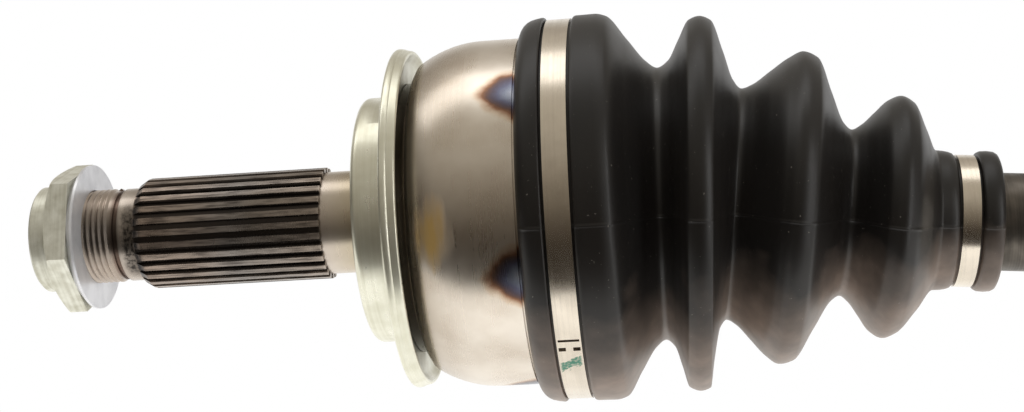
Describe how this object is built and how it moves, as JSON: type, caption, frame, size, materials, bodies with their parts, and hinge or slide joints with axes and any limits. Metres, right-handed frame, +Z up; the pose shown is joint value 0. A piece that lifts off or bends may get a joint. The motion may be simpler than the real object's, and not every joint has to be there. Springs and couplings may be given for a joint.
{
  "type": "drive shaft",
  "caption": "Wheel-side end of a front drive shaft: splined and threaded stub axle with hub nut, ball joint in a bell, rubber boot with clamps, and a short splined bar.",
  "frame": {"origin": "on the axis of the stub axle, at the hub face of the seal land", "axes": "+X along the stub axle from the hub towards the gearbox; +Z up; the bar leaves the joint centre at x 42 mm, 4.77 degrees below +X in the XZ plane"},
  "size_m": [0.3285, 0.1005, 0.0968],
  "materials": {
    "forged_steel": "bare turned steel, satin, with heat tint at the tracks",
    "yellow_zinc": "pale yellow zinc plate, half bright",
    "nut_zinc": "dull greenish zinc plate",
    "washer_zinc": "pale zinc plate, lightly scratched",
    "boot_rubber": "black moulded rubber with a dull sheen",
    "clamp_steel": "bright stainless strip",
    "hardened_steel": "hardened and ground steel with a film of grease",
    "bar_steel": "bare turned steel, satin",
    "spring_steel": "dark spring steel, lightly oiled",
    "ball_steel": "polished bearing steel"
  },
  "bodies": {
    "outer_race": {"outer_race": "forged_steel", "dust_deflector": "yellow_zinc", "axle_nut": "nut_zinc", "nut_washer": "washer_zinc", "boot": "boot_rubber", "large_clamp": "clamp_steel"},
    "bar": {"inner_race": "hardened_steel", "shaft_bar": "bar_steel", "race_circlip": "spring_steel", "race_stop_ring": "spring_steel", "inboard_circlip": "spring_steel", "small_clamp": "clamp_steel"},
    "cage": {"cage": "hardened_steel", "ball_1": "ball_steel", "ball_2": "ball_steel", "ball_3": "ball_steel", "ball_4": "ball_steel", "ball_5": "ball_steel", "ball_6": "ball_steel"}
  },
  "joints": [
    {"name": "articulation", "type": "hinge", "parent": "outer_race", "child": "bar", "pos_m": [0.042, 0, 0], "axis": [0, 1, 0], "range_deg": [-46.77, 37.23], "deforming": ["boot"]},
    {"name": "cage_tilt", "type": "hinge", "parent": "outer_race", "child": "cage", "pos_m": [0.042, 0, 0], "axis": [0, 1, 0], "range_deg": [-23.39, 18.61]}
  ],
  "couplings": [
    {"joint": "cage_tilt", "follows": "articulation", "ratio": 0.5}
  ]
}
